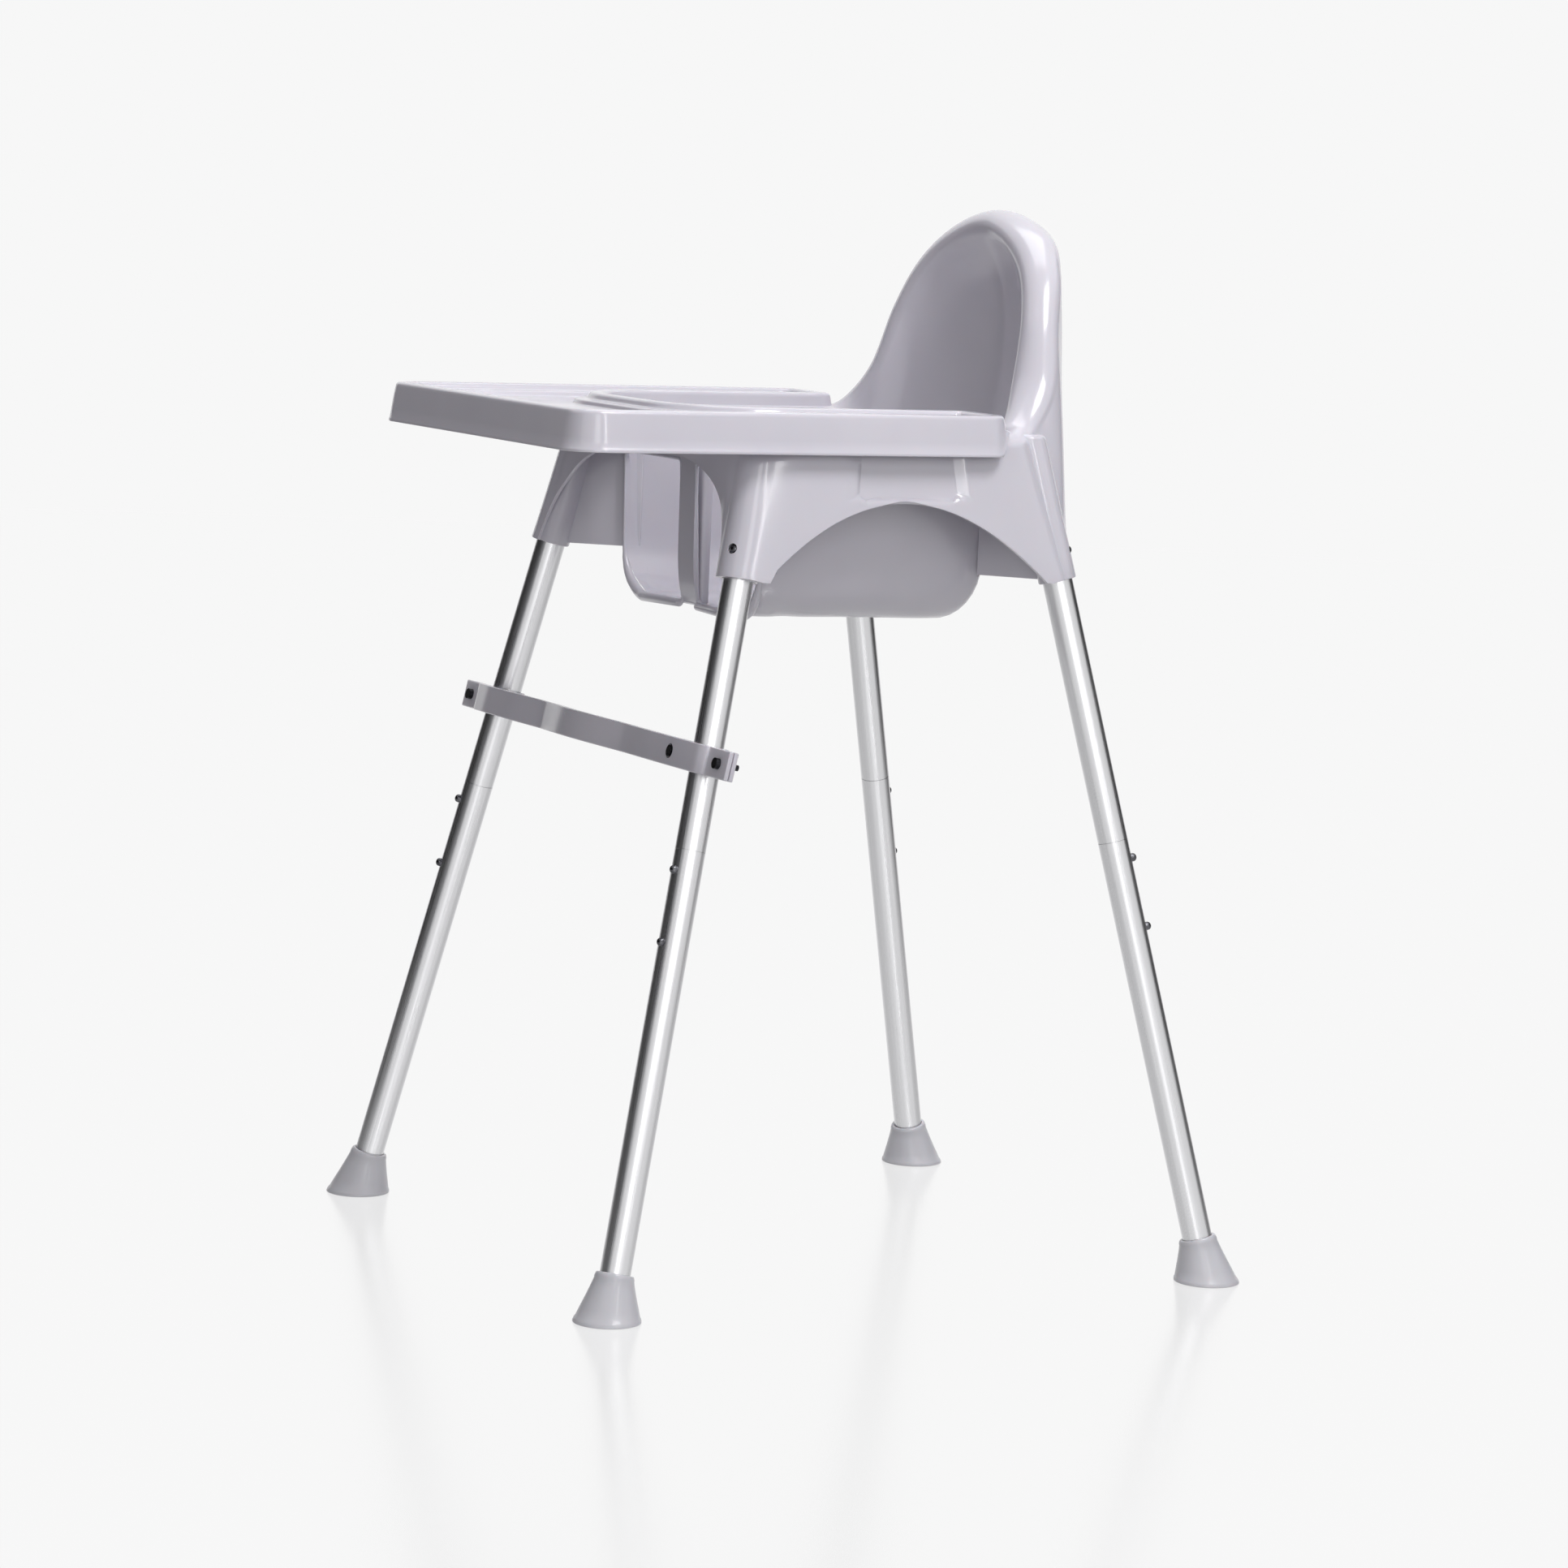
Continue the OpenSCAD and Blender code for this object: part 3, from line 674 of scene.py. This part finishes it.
class HIGHCHAIR_OT_seat(bpy.types.Operator):
    """Adds the moulded seat shell with its backrest, arches, sockets, webs and crotch post"""
    bl_idname = "highchair.seat"
    bl_label = "Seat shell"

    def execute(self, context):
        sizes = context.scene.highchair_sizes
        colours = context.scene.highchair_colours
        shape = SeatShape(sizes)
        counts = (8, 8, 22, 18, 36)
        places = shape.column_places(340)
        columns = len(places)
        sections = [shape.section(place, 0.08, counts) for place in places]
        bm = surface(columns, sum(counts), lambda c, r: sections[c % columns][r])
        lowest = min(bm.faces, key=lambda f: f.calc_center_median().xy.length + f.calc_center_median().z)
        if lowest.normal.z < 0:
            bmesh.ops.reverse_faces(bm, faces=bm.faces)
        wall_tree = BVHTree.FromBMesh(bm)
        shell = as_object(bm, "seat_moulding")
        thicken(shell, sizes.wall, 0.9)
        cutters = [button_cutter(n, s, e, BUTTON_HOLE_R) for n, s, e in CORNERS]
        cut(shell, as_object(join(cutters + [gap_cutter(side, GAP_TOP) for side in (-1, 1)]), "openings"))
        parts = [bmesh.new()]
        parts[0].from_mesh(shell.data)
        for name, side, end in CORNERS:
            socket = as_object(socket_shape(side, end), "socket")
            cut(socket, as_object(button_cutter(name, side, end, BUTTON_HOLE_R), "button_hole"))
            solid = bmesh.new()
            solid.from_mesh(socket.data)
            bpy.data.objects.remove(socket)
            parts += [solid, web_shape(side, end, sizes.wall)]
        parts.append(post_shape(sizes.wall))
        parts += [lip_shape(side, GAP_TOP, wall_tree) for side in (-1, 1)]
        bpy.data.objects.remove(shell)
        seat = as_object(join(parts), "seat_moulding")
        plastic = polypropylene("moulded polypropylene", colours.shell, colours.shell_deep, SHELL_ROUGH)
        finish_piece(seat, "frame", "shell_plastic", plastic, "seat_shell")
        return {"FINISHED"}


# ---- Tray ----

TRAY_CORNER_R = 26.0
TRAY_REAR = 92.0
TRAY_REAR_R = 22.0
BAY_HALF = 122.0
BAY_FRONT = 161.0
BAY_R = 75.0
ARM_R = 16.0
DECK_UNDER = 718.5


def quarter(cx, cy, r, start, end, count):
    """Points on a turn about a centre between two angles in degrees."""
    angles = [math.radians(start + (end - start) * k / count) for k in range(count + 1)]
    return [Vector((cx + r * math.cos(a), cy + r * math.sin(a))) for a in angles]


def straight(ax, ay, bx, by, count):
    """Points strictly between two ends of a straight."""
    return [Vector((mix(ax, bx, k / count), mix(ay, by, k / count))) for k in range(1, count)]


def tray_outline(sizes, grow):
    """Plan outline of the tray grown by a distance, anticlockwise, as points."""
    w, f, e = sizes.tray_half + grow, -sizes.tray_front - grow, TRAY_REAR + grow
    b, bf = BAY_HALF - grow, -BAY_FRONT + grow
    rc, rr, ra = max(TRAY_CORNER_R + grow, 5), max(TRAY_REAR_R + grow, 5), max(ARM_R + grow, 4)
    rb = BAY_R - grow
    half = ([Vector((12, f))] + straight(12, f, w - rc, f, 14)
            + quarter(w - rc, f + rc, rc, -90, 0, 14) + straight(w, f + rc, w, e - rr, 24)
            + quarter(w - rr, e - rr, rr, 0, 90, 12) + quarter(b + ra, e - ra, ra, 90, 180, 10)
            + straight(b, e - ra, b, bf + rb, 10) + quarter(b - rb, bf + rb, rb, 0, -90, 18)
            + straight(b - rb, bf, 0, bf, 4)[:2])
    return half + [Vector((-p.x, p.y)) for p in reversed(half)]


def tray_profile(top, low):
    """Rings as (growth, height) from the deck over the rim, down the skirt and back under it."""
    rim = [(-27.6, 721.5), (-26.8, 721.8), (-26.1, 722.6), (-25.6, 724.4), (-25, 725.3), (-24, 725.8),
           (-22.5, 726), (-16, 726), (-14.8, 726.3), (-14, 727.2), (-13.2, 729), (-12.3, 730.6),
           (-11, top - 0.3), (-9.4, top), (-4.2, top), (-2.6, top - 0.3), (-1.2, top - 1.2),
           (-0.4, top - 2.6), (0, top - 4.4)]
    skirt = [(1.4, 720), (3.0, 709), (4.2, low + 3.2), (4.9, low + 2.4), (5, low + 1.2), (4.8, low + 0.3),
             (4.2, low), (2.8, low), (2.3, low + 0.4), (2.2, low + 1.4)]
    under = [(0.2, 711), (-2.2, 725.5), (-3.2, 728), (-5.2, 729), (-9, 729), (-10.8, 728.2),
             (-12.6, 724.6), (-14.4, 723.4), (-23, 723.3), (-26, 722.4), (-27.6, 719.6), (-30, 718.9)]
    return rim + skirt + under


class HIGHCHAIR_OT_tray(bpy.types.Operator):
    """Adds the tray with its stepped rim, recessed deck and belly bay"""
    bl_idname = "highchair.tray"
    bl_label = "Tray"

    def execute(self, context):
        sizes = context.scene.highchair_sizes
        colours = context.scene.highchair_colours
        low, high = node_box("tray")
        rings = tray_profile(high.z, low.z)
        outlines = [tray_outline(sizes, grow) for grow, _ in rings]
        count = len(outlines[0])

        def place(c, r):
            p = outlines[r][c % count]
            z = rings[r][1]
            if p.y > -sizes.tray_front + 90 and z < DECK_UNDER:
                lift = min(1.0, max(0.0, (sizes.tray_half + 1 - abs(p.x)) / 7))
                z = mix(z, DECK_UNDER + (z - low.z) * 0.04, lift)
            return Vector((p.x, p.y, z))

        bm = surface(count, len(rings) - 1, place)
        holes = [edge for edge in bm.edges if edge.is_boundary]
        bmesh.ops.edgeloop_fill(bm, edges=holes)
        bmesh.ops.recalc_face_normals(bm, faces=bm.faces)
        bmesh.ops.triangulate(bm, faces=[f for f in bm.faces if len(f.verts) > 4])
        tray = as_object(bm, "tray_moulding")
        plastic = polypropylene("moulded polypropylene", colours.shell, colours.shell_deep, SHELL_ROUGH)
        finish_piece(tray, "tray", "shell_plastic", plastic, "tray")
        return {"FINISHED"}


# ---- Feet ----

class HIGHCHAIR_OT_feet(bpy.types.Operator):
    """Adds the four flared feet"""
    bl_idname = "highchair.feet"
    bl_label = "Feet"

    def execute(self, context):
        colours = context.scene.highchair_colours
        plastic = polypropylene("satin polypropylene", colours.foot, colours.foot_deep, FOOT_ROUGH)
        # Share of the way from the flat base to the tilted collar, and growth of the radius
        profile = [(0.0, -2.6), (0.0, -1.0), (0.012, -0.25), (0.04, 0.0), (0.09, 0.0), (0.11, -0.5),
                   (0.3, -0.5), (0.5, -0.6), (0.7, -0.5), (0.88, -0.2), (0.91, 0.35), (0.97, 0.4),
                   (0.99, 0.15), (1.0, -0.4), (1.0, -1.9), (0.97, -2.2), (0.6, -2.2)]
        base_r, collar_r, collar_z, segments = 28.5, 15.0, 38.0, 64
        for name, side, end in CORNERS:
            middle = leg_point(side, end, 0)
            collar = leg_point(side, end, collar_z)
            turn = leg_turn(side, end)

            def place(c, r):
                share, grow = profile[r]
                a = 2 * math.pi * c / segments
                ring = Vector((math.cos(a), math.sin(a), 0))
                spin = leg_turn(side, end).to_euler().z
                flat = Matrix.Rotation(spin, 3, "Z") @ ring
                low = middle + flat * (base_r + grow)
                high = collar + turn @ (ring * (collar_r + grow))
                return mix(low, high, share)

            bm = surface(segments, len(profile) - 1, place)
            bmesh.ops.edgeloop_fill(bm, edges=[e for e in bm.edges if e.is_boundary])
            bmesh.ops.recalc_face_normals(bm, faces=bm.faces)
            foot = as_object(bm, f"flared_foot_{name}")
            finish_piece(foot, "frame", "foot_plastic", plastic, f"foot_{name}")
        return {"FINISHED"}


# ---- Tubes, buttons and fasteners ----

class HIGHCHAIR_OT_tubes(bpy.types.Operator):
    """Finishes the leg tubes and sleeves in drawn steel"""
    bl_idname = "highchair.tubes"
    bl_label = "Leg tubes"

    def execute(self, context):
        colours = context.scene.highchair_colours
        for name, side, end in CORNERS:
            steel = drawn_tube(f"drawn steel tube {name}", colours.tube, TUBE_ROUGH, leg_turn(side, end))
            for node in (f"upper_leg_{name}", f"lower_leg_{name}", f"sleeve_{name}"):
                set_material(node, steel)
        return {"FINISHED"}


def set_material(node, material):
    """Puts a material on every slot of a frame node."""
    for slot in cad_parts[node].material_slots:
        slot.material = material


class HIGHCHAIR_OT_buttons(bpy.types.Operator):
    """Finishes the snap buttons and their spring leaves"""
    bl_idname = "highchair.buttons"
    bl_label = "Snap buttons"

    def execute(self, context):
        plated = plated_steel("black nickel plated steel", "#6F6F73", "#35353A", 0.16, 1.5)
        spring = plated_steel("blued spring steel", "#4A4C55", "#2A2C33", 0.3, 2.0)
        for name, _, _ in CORNERS:
            for kind in ("hub", "top", "low"):
                set_material(f"{kind}_button_{name}", plated)
                set_material(f"{kind}_spring_{name}", spring)
        return {"FINISHED"}


# ---- Footrest ----

REST_Z = 448.0
REST_HEIGHT = 24.0
# Depths are measured from the legs' middle line, forwards negative
LUG_Y = -11.5
LUG_T = 4.0
CLAMP_Y = -5.5
SADDLE_R = 17.0
BAR_T = 13.0
BOW = 11.0
VALLEY = 84.0
VALLEY_Y = -18.5
END_Y = -18.0
# Height of the swell past the valley: higher over the capped bolt than round the open one
SWELL = 5.5
OPEN_SWELL = 2.2
# Places along the bar, from a leg's middle line outwards
LUG_END = 62.0
BAR_END = 25.0
BOLT_IN = -29.0
BOLT_OUT = 46.0
BOLT_SEAT_R = 6.1
BOLT_HOLE_R = 2.6


def at_rest(bm):
    """Moves a shape made about the origin to the footrest's place on the front legs."""
    turn = Matrix.Rotation(-math.atan(LEAN.y), 3, "X")
    return move(bm, turn, Vector((0, leg_point(1, -1, REST_Z).y, REST_Z)))


def leg_at_rest():
    return leg_point(1, -1, REST_Z).x


def pin(radius, low, high):
    """A cylinder along Y between two places, about the footrest's own middle."""
    bm = bmesh.new()
    bmesh.ops.create_cone(bm, cap_ends=True, segments=40, radius1=radius * MM, radius2=radius * MM,
                          depth=(high - low) * MM)
    return move(bm, Matrix.Rotation(math.pi / 2, 3, "X"), Vector((0, (low + high) / 2, 0)))


def leg_pin(side):
    """A cylinder in the place of a front leg where the footrest holds it."""
    bm = bmesh.new()
    bmesh.ops.create_cone(bm, cap_ends=True, segments=64, radius1=(TUBE_R + 0.05) * MM,
                          radius2=(TUBE_R + 0.05) * MM, depth=120 * MM)
    return move(bm, leg_turn(side, -1), leg_point(side, -1, REST_Z))


def bar_face(x):
    """Front face of the bar: a middle bow, a valley, then a long swell that falls off past the leg."""
    a = abs(x)
    if a < VALLEY:
        return VALLEY_Y - BOW * math.cos(math.radians(a / VALLEY * 90)) ** 1.3
    swell = SWELL if x < 0 else OPEN_SWELL
    rise = VALLEY_Y - swell * ramp(a - VALLEY, 62)
    return rise + (END_Y - VALLEY_Y + swell) * ramp(a - VALLEY - 100, 60)


class HIGHCHAIR_OT_footrest(bpy.types.Operator):
    """Adds the footrest bar with its lugs, the rear clamps and their black fasteners"""
    bl_idname = "highchair.footrest"
    bl_label = "Footrest"

    def execute(self, context):
        colours = context.scene.highchair_colours
        plastic = polypropylene("moulded polypropylene", colours.shell, colours.shell_deep, SHELL_ROUGH)
        black = plated_steel("black oxide steel", "#3C3C40", "#17171A", 0.34, 1.2)
        for node in ("footrest_bolts", "footrest_nuts"):
            set_material(node, black)
        bar = as_object(at_rest(self.bar_shape()), "footrest_rail")
        cut(bar, as_object(join([leg_pin(-1), leg_pin(1), *self.bolt_seats()]), "rail_cuts"))
        resharp(bar)
        finish_piece(bar, "frame", "shell_plastic", plastic, "footrest_bar")
        for side, word in ((1, "left"), (-1, "right")):
            clamp = as_object(at_rest(self.clamp_shape(side)), f"footrest_saddle_{word}")
            cut(clamp, as_object(leg_pin(side), "leg_cut"))
            resharp(clamp)
            finish_piece(clamp, "frame", "shell_plastic", plastic, f"footrest_clamp_{word}")
        return {"FINISHED"}

    def bar_shape(self):
        """The rail: a bowed front, a swell over each inner bolt and a flat lug past each leg."""
        lug_end, half = leg_at_rest() + LUG_END, leg_at_rest() + BAR_END
        xs = [half * k / 56 for k in range(-56, 57)]
        front = [(x, bar_face(x) + 4.5 * (1 - ramp(half - abs(x), 6))) for x in xs]
        rear = [(x, min(bar_face(x) + BAR_T, LUG_Y + LUG_T)) for x in reversed(xs)]
        plan = ([(-lug_end, LUG_Y + LUG_T), (-lug_end, LUG_Y), (-half, LUG_Y)] + front
                + [(half, LUG_Y), (lug_end, LUG_Y), (lug_end, LUG_Y + LUG_T)] + rear)
        return slab(plan, REST_HEIGHT, 1.6)

    def clamp_shape(self, side):
        """Two ears and a saddle that closes round the back of the tube."""
        middle = side * leg_at_rest()
        low, high = sorted((middle - side * 42, middle + side * 59))
        half = SADDLE_R
        plan = [(low, CLAMP_Y + LUG_T), (low, CLAMP_Y), (high, CLAMP_Y), (high, CLAMP_Y + LUG_T),
                (middle + half, CLAMP_Y + LUG_T)]
        turn = quarter(middle, 0, half, 10, 170, 18)
        plan += turn + [(middle - half, CLAMP_Y + LUG_T)]
        return slab(plan, REST_HEIGHT, 1.0)

    def bolt_seats(self):
        """Cutters for the round seats of the inner bolts, one capped, and the four bolt holes."""
        shapes = []
        for side in (-1, 1):
            inner, outer = side * (leg_at_rest() + BOLT_IN), side * (leg_at_rest() + BOLT_OUT)
            mouth = -40 if side > 0 else -22.0
            for x, radius, low, high in ((inner, BOLT_SEAT_R, mouth, LUG_Y - 2),
                                         (inner, BOLT_HOLE_R, mouth, 5), (outer, BOLT_HOLE_R, -40, 5)):
                bm = pin(radius, low, high)
                bmesh.ops.translate(bm, vec=Vector((x * MM, 0, 0)), verts=bm.verts)
                shapes.append(at_rest(bm))
        return shapes


# ---- Stage ----

def soft_lamp(name, place, target, size, power, colour="#FFFFFF"):
    """A square studio lamp that faces a target."""
    lamp = bpy.data.lights.new(name, "AREA")
    lamp.shape = "RECTANGLE"
    lamp.size, lamp.size_y = size
    lamp.energy = power
    lamp.color = linear(colour)[:3]
    holder = bpy.data.objects.new(name, lamp)
    holder.location = place
    holder.rotation_euler = (Vector(target) - Vector(place)).to_track_quat("-Z", "Y").to_euler()
    bpy.context.scene.collection.objects.link(holder)


# Dark boards: name, angle round the chair from the camera's side, width in metres and colour
FLAGS = (("left_flag", -106, 3.2, "#101012"), ("left_grey", -58, 1.3, "#5A5A5E"),
         ("right_flag", 116, 2.2, "#1C1C1E"))
FLAG_DISTANCE = 2.4
FLAG_HEIGHT = 3.0
FLOOR_HALF = 9.0
BACKDROP_R = 8.5
BACKDROP_HEIGHT = 16.0
AMBIENT = 0.42


class HIGHCHAIR_OT_stage(bpy.types.Operator):
    """Adds the floor, the studio lamps and the camera"""
    bl_idname = "highchair.stage"
    bl_label = "Stage"

    def execute(self, context):
        stage = context.scene.highchair_stage
        colours = context.scene.highchair_colours
        self.camera(context, stage)
        self.floor(colours)
        right, back = Vector((0.445, 0.896, 0)), Vector((0.889, -0.441, 0.119))
        up = Vector((0, 0, 1))
        middle = (0, 0, 0.6)
        soft_lamp("key", right * 1.0 + back * 1.3 + up * 2.5, middle, (0.9, 0.9), 38)
        soft_lamp("top", up * 2.8 - back * 0.5, middle, (1.4, 1.4), 17)
        soft_lamp("front", back * 4.4 + up * 0.9 + right * 0.6, middle, (1.2, 2.6), 26)
        soft_lamp("strip", right * 1.3 + back * 2.2 + up * 1.1, middle, (0.1, 1.3), 7)
        for name, angle, width, colour in FLAGS:
            a = math.radians(angle)
            place = (back * math.cos(a) + right * math.sin(a)).xy.to_3d() * FLAG_DISTANCE
            self.flag(name, place, width, colour)
        world = bpy.data.worlds.new("studio")
        world.use_nodes = True
        background = world.node_tree.nodes["Background"]
        background.inputs["Color"].default_value = linear(colours.floor)
        background.inputs["Strength"].default_value = AMBIENT
        context.scene.world = world
        context.scene.view_settings.view_transform = "Standard"
        return {"FINISHED"}

    def camera(self, context, stage):
        """Stands the camera where its place, azimuth, pitch and roll say."""
        a, e, r = (math.radians(v) for v in (stage.azimuth, stage.pitch, stage.roll))
        back = Vector((math.sin(a) * math.cos(e), -math.cos(a) * math.cos(e), math.sin(e)))
        right = (-back).cross(Vector((0, 0, 1))).normalized()
        up = back.cross(right)
        tilted_right = right * math.cos(r) + up * math.sin(r)
        tilted_up = up * math.cos(r) - right * math.sin(r)
        data = bpy.data.cameras.new("camera")
        data.sensor_width = 36
        data.lens = stage.lens
        camera = bpy.data.objects.new("camera", data)
        turn = Matrix((tilted_right, tilted_up, back)).transposed()
        camera.matrix_world = Matrix.Translation(stage.camera_place) @ turn.to_4x4()
        context.scene.collection.objects.link(camera)
        context.scene.camera = camera

    def flag(self, name, place, width, colour):
        """A dark board beside the set, seen only in reflections, that gives the tubes a dark edge."""
        black = new_material(f"dark board {name}")
        shader = add(black.node_tree, "ShaderNodeBsdfDiffuse", Color=linear(colour))
        close_material(black.node_tree, shader)
        bm = bmesh.new()
        bmesh.ops.create_grid(bm, x_segments=1, y_segments=1, size=0.5)
        bmesh.ops.scale(bm, vec=(width, FLAG_HEIGHT, 1), verts=bm.verts)
        turn = Vector(place).to_track_quat("Z", "Y").to_matrix().to_4x4()
        bmesh.ops.transform(bm, matrix=Matrix.Translation(Vector(place) + Vector((0, 0, 0.7))) @ turn,
                            verts=bm.verts)
        board = as_object(bm, name)
        board.data.materials.append(black)
        board.visible_camera = False
        board.visible_diffuse = False
        board.visible_shadow = False

    def floor(self, colours):
        """A pale paper sweep: a glossy floor and a wall behind, both evenly lit."""
        material = new_material("pale glossy paper")
        tree = material.node_tree
        paper = add(tree, "ShaderNodeEmission", Color=linear(colours.floor))
        gloss = add(tree, "ShaderNodeBsdfGlossy", Roughness=0.2, Color=(1, 1, 1, 1))
        both = add(tree, "ShaderNodeMixShader", Fac=0.25)
        tree.links.new(paper.outputs[0], both.inputs[1])
        tree.links.new(gloss.outputs[0], both.inputs[2])
        close_material(tree, both)
        bm = bmesh.new()
        bmesh.ops.create_grid(bm, x_segments=1, y_segments=1, size=FLOOR_HALF)
        floor = as_object(bm, "floor")
        floor.data.materials.append(material)
        wall_paper = new_material("pale paper")
        glow = add(wall_paper.node_tree, "ShaderNodeEmission", Color=linear(colours.floor))
        close_material(wall_paper.node_tree, glow)
        bm = bmesh.new()
        bmesh.ops.create_cone(bm, cap_ends=True, segments=96, radius1=BACKDROP_R, radius2=BACKDROP_R,
                              depth=BACKDROP_HEIGHT)
        # It starts a little under the floor, so that no gap shows
        bmesh.ops.translate(bm, vec=(0, 0, BACKDROP_HEIGHT / 2 - 0.1), verts=bm.verts)
        wall = as_object(bm, "backdrop")
        wall.data.materials.append(wall_paper)
        for piece in (floor, wall):
            piece.visible_diffuse = False


# ---- Panel and registration ----

class HIGHCHAIR_PT_panel(bpy.types.Panel):
    """Lists the high chair's pieces"""
    bl_idname = "HIGHCHAIR_PT_panel"
    bl_label = "High Chair"
    bl_space_type = "VIEW_3D"
    bl_region_type = "UI"
    bl_category = "High Chair"

    def draw(self, context):
        for operator in STEPS:
            self.layout.operator(operator.bl_idname)


STEPS = (HIGHCHAIR_OT_stage, HIGHCHAIR_OT_seat, HIGHCHAIR_OT_tray, HIGHCHAIR_OT_feet,
         HIGHCHAIR_OT_tubes, HIGHCHAIR_OT_buttons, HIGHCHAIR_OT_footrest)
GROUPS = {"highchair_sizes": ChairSizes, "highchair_colours": ChairColours,
          "highchair_stage": StageSettings}


def register():
    for group in GROUPS.values():
        bpy.utils.register_class(group)
    for name, group in GROUPS.items():
        setattr(bpy.types.Scene, name, PointerProperty(type=group))
    for cls in (*STEPS, HIGHCHAIR_PT_panel):
        bpy.utils.register_class(cls)


def unregister():
    for cls in (HIGHCHAIR_PT_panel, *reversed(STEPS)):
        bpy.utils.unregister_class(cls)
    for name, group in GROUPS.items():
        delattr(bpy.types.Scene, name)
        bpy.utils.unregister_class(group)


def main():
    register()
    for operator in STEPS:
        area, name = operator.bl_idname.split(".")
        getattr(getattr(bpy.ops, area), name)()


if __name__ == "__main__":
    main()
